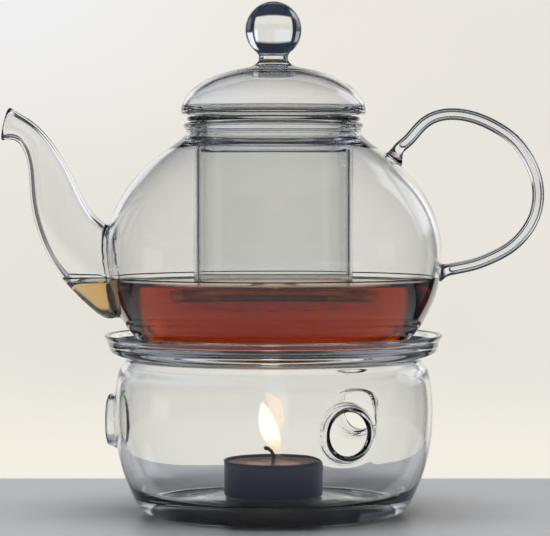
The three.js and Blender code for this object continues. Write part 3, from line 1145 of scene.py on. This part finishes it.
clear = colour(0.62, 0.70, 0.74)
pot, tea = make_pot()
infuser, infuser_core = make_infuser()
make_tea(tea, infuser_core)
paint(pot, glass("pot_glass", clear, 13.0, 0.10))
belongs(pot, "pot", ("pot_bowl", "pot_neck", "spout", "handle"))
paint(tea, tea_material())
belongs(tea, "pot")

paint(infuser, glass("infuser_glass", colour(0.60, 0.64, 0.60), 45.0, 0.16))
belongs(infuser, "infuser", ("infuser_tube", "infuser_floor", "infuser_rim"))

lid = make_lid()
paint(lid, glass("lid_glass", clear, 10.0, 0.08))
belongs(lid, "lid", ("lid_dome", "lid_plug", "lid_knob"))

warmer = make_warmer()
paint(warmer, glass("warmer_glass", clear, 26.0, 0.08))
belongs(warmer, "warmer", ("warmer_bowl", "warmer_tray", *VENTS))

cup = make_cup()
paint(cup, cup_material())
belongs(cup, "tealight", ("tealight_cup",))

candle = make_wax()
paint(candle, wax_material())
belongs(candle, "tealight", ("tealight_wax",))

holder = make_sustainer()
paint(holder, sustainer_material())
belongs(holder, "tealight", ("wick_sustainer",))

wick = make_wick()
paint(wick, wick_material())
belongs(wick, "tealight", ("tealight_wick",))

flame = make_flame("candle_flame", FLAME)
white_heart, amber_root = colour(1.0, 0.95, 0.82), colour(0.95, 0.62, 0.36)
paint(flame, flame_material("flame", white_heart, amber_root, strength=1.3, alpha=0.42))
belongs(flame, "tealight")
lobe = make_flame("candle_flame_lobe", FLAME_LOBE)
peach, dim_root = colour(1.0, 0.76, 0.56), colour(0.95, 0.6, 0.35)
paint(lobe, flame_material("flame_lobe", peach, dim_root, strength=1.25, alpha=0.06))
belongs(lobe, "tealight")


# ---- Table, light and camera --------------------------------------------------------

TABLE_BACK = 0.118
TABLE_FRONT = -0.9
TABLE_HALF_WIDTH = 0.65
TABLE_THICKNESS = 0.025

deselect()
bpy.ops.mesh.primitive_cube_add(
    size=1,
    location=(0, (TABLE_BACK + TABLE_FRONT) / 2, -TABLE_THICKNESS / 2),
    scale=(2 * TABLE_HALF_WIDTH, TABLE_BACK - TABLE_FRONT, TABLE_THICKNESS),
)
table = bpy.context.active_object
table.name = table.data.name = "table_top"
bpy.ops.object.transform_apply(location=True, rotation=True, scale=True)
bpy.ops.object.mode_set(mode="EDIT")
bpy.ops.mesh.select_all(action="SELECT")
bpy.ops.mesh.bevel(offset=0.002, segments=4, affect="EDGES")
bpy.ops.object.mode_set(mode="OBJECT")
bpy.ops.object.shade_smooth_by_angle(angle=math.radians(40))
paint(table, table_material())

ROOM = colour(0.022, 0.031, 0.050)

# Windows of the room: middle and half width round the horizon, from +Y towards +X, then
# lowest and highest elevation, all in degrees, and brightness.
WINDOWS = [
    (0, 30, -17, 21, 1.0),
    (50, 9, -17, 3, 0.15),
    (-50, 9, -17, 3, 0.15),
    (47, 12, 7, 40, 0.95),
    (-50, 9, 5, 24, 0.5),
    (-45, 9, -35, -17, 0.4),
    (135, 17, -24, -4, 0.95),
    (-90, 9, -11, 5, 0.7),
    (0, 180, 60, 90, 0.25),
]

world = bpy.data.worlds.new("studio")
bpy.context.scene.world = world
world.use_nodes = True
sky = world.node_tree
heading = Flow(sky, sky.nodes.new("ShaderNodeTexCoord").outputs["Generated"])
right, forward, above = heading.split()
elevation = above.maths("ARCSINE", above)
bright = 0.0
for middle, half_width, lowest, highest, level in WINDOWS:
    cosine, sine = math.cos(math.radians(middle)), math.sin(math.radians(middle))
    sideways = right * cosine - forward * sine
    ahead = right * sine + forward * cosine
    off = abs(sideways.maths("ARCTAN2", sideways, ahead))
    across = off.band(math.radians(half_width + 2), math.radians(half_width - 2))
    upward = elevation.band(math.radians(lowest - 2), math.radians(lowest + 2))
    downward = elevation.band(math.radians(highest + 3), math.radians(highest - 3))
    bright = bright + across * upward * downward * level
haze = heading.noise(5.0, 3.0).band(0.3, 0.7)
pane = haze.mix(colour(0.785, 0.76, 0.70), colour(0.85, 0.815, 0.75))
near_table = elevation.band(math.radians(-3.5), math.radians(-6.2))
pane = near_table.mix(pane, colour(0.90, 0.865, 0.775))
upper_left = elevation.band(math.radians(-1), math.radians(5)) * right.band(0.02, -0.10)
pane = upper_left.mix(pane, colour(0.88, 0.885, 0.90))
right_edge = elevation.band(math.radians(0), math.radians(6)) * right.band(0.36, 0.43)
pane = right_edge.mix(pane, colour(1.15, 1.17, 1.28))
glow = bright.mix(ROOM, pane)
sky.links.new(glow.socket, sky.nodes["Background"].inputs["Color"])


def lamp(name, place_at, aim, size, power, shade):
    data = bpy.data.lights.new(name, "AREA")
    data.shape = "RECTANGLE"
    data.size, data.size_y = size
    data.energy = power
    data.color = shade
    made = bpy.data.objects.new(name, data)
    made.location = place_at
    made.visible_glossy = made.visible_transmission = False
    made.rotation_euler = (Vector(aim) - Vector(place_at)).to_track_quat("-Z", "Y").to_euler()
    bpy.context.scene.collection.objects.link(made)


# Powers in watts, places in metres.
OVERHEAD_POWER = 13.5
SIDE_POWER = 3
FLAME_POWER = 0.035
FLAME_MIDDLE = (-0.0025, 0, 0.033)
FLAME_RADIUS = 0.004

lamp("overhead", (0, -0.05, 1.3), (0, 0, 0), (0.8, 0.8), OVERHEAD_POWER, (1.0, 1.0, 1.0))
lamp("side", (-1.4, -0.9, 0.7), (0, 0, 0.08), (0.5, 0.8), SIDE_POWER, (0.95, 0.98, 1.0))

glow_light = bpy.data.lights.new("flame_light", "POINT")
glow_light.energy = FLAME_POWER
glow_light.color = (1.0, 0.62, 0.30)
glow_light.shadow_soft_size = FLAME_RADIUS
glow_at = bpy.data.objects.new("flame_light", glow_light)
glow_at.location = FLAME_MIDDLE
glow_at.visible_glossy = glow_at.visible_transmission = False
bpy.context.scene.collection.objects.link(glow_at)

scene = bpy.context.scene
scene.view_settings.view_transform = "Standard"
scene.cycles.max_bounces = 32
scene.cycles.transmission_bounces = 32
scene.cycles.transparent_max_bounces = 24
scene.cycles.glossy_bounces = 8
scene.cycles.sample_clamp_indirect = 4.0

LENS = 171.0  # mm
SENSOR_WIDTH = 36.0  # mm
EYE_HEIGHT = 0.1256
EYE_DISTANCE = 1.0
EYE_SIDE = 0.0006
AIM_HEIGHT = 0.0939

camera_data = bpy.data.cameras.new("camera")
camera_data.lens = LENS
camera_data.sensor_width = SENSOR_WIDTH
camera_data.clip_start = 0.05
camera = bpy.data.objects.new("camera", camera_data)
camera.location = (EYE_SIDE, -EYE_DISTANCE, EYE_HEIGHT)
gaze = Vector((0, EYE_DISTANCE, AIM_HEIGHT - EYE_HEIGHT))
camera.rotation_euler = gaze.to_track_quat("-Z", "Y").to_euler()
scene.collection.objects.link(camera)
scene.camera = camera
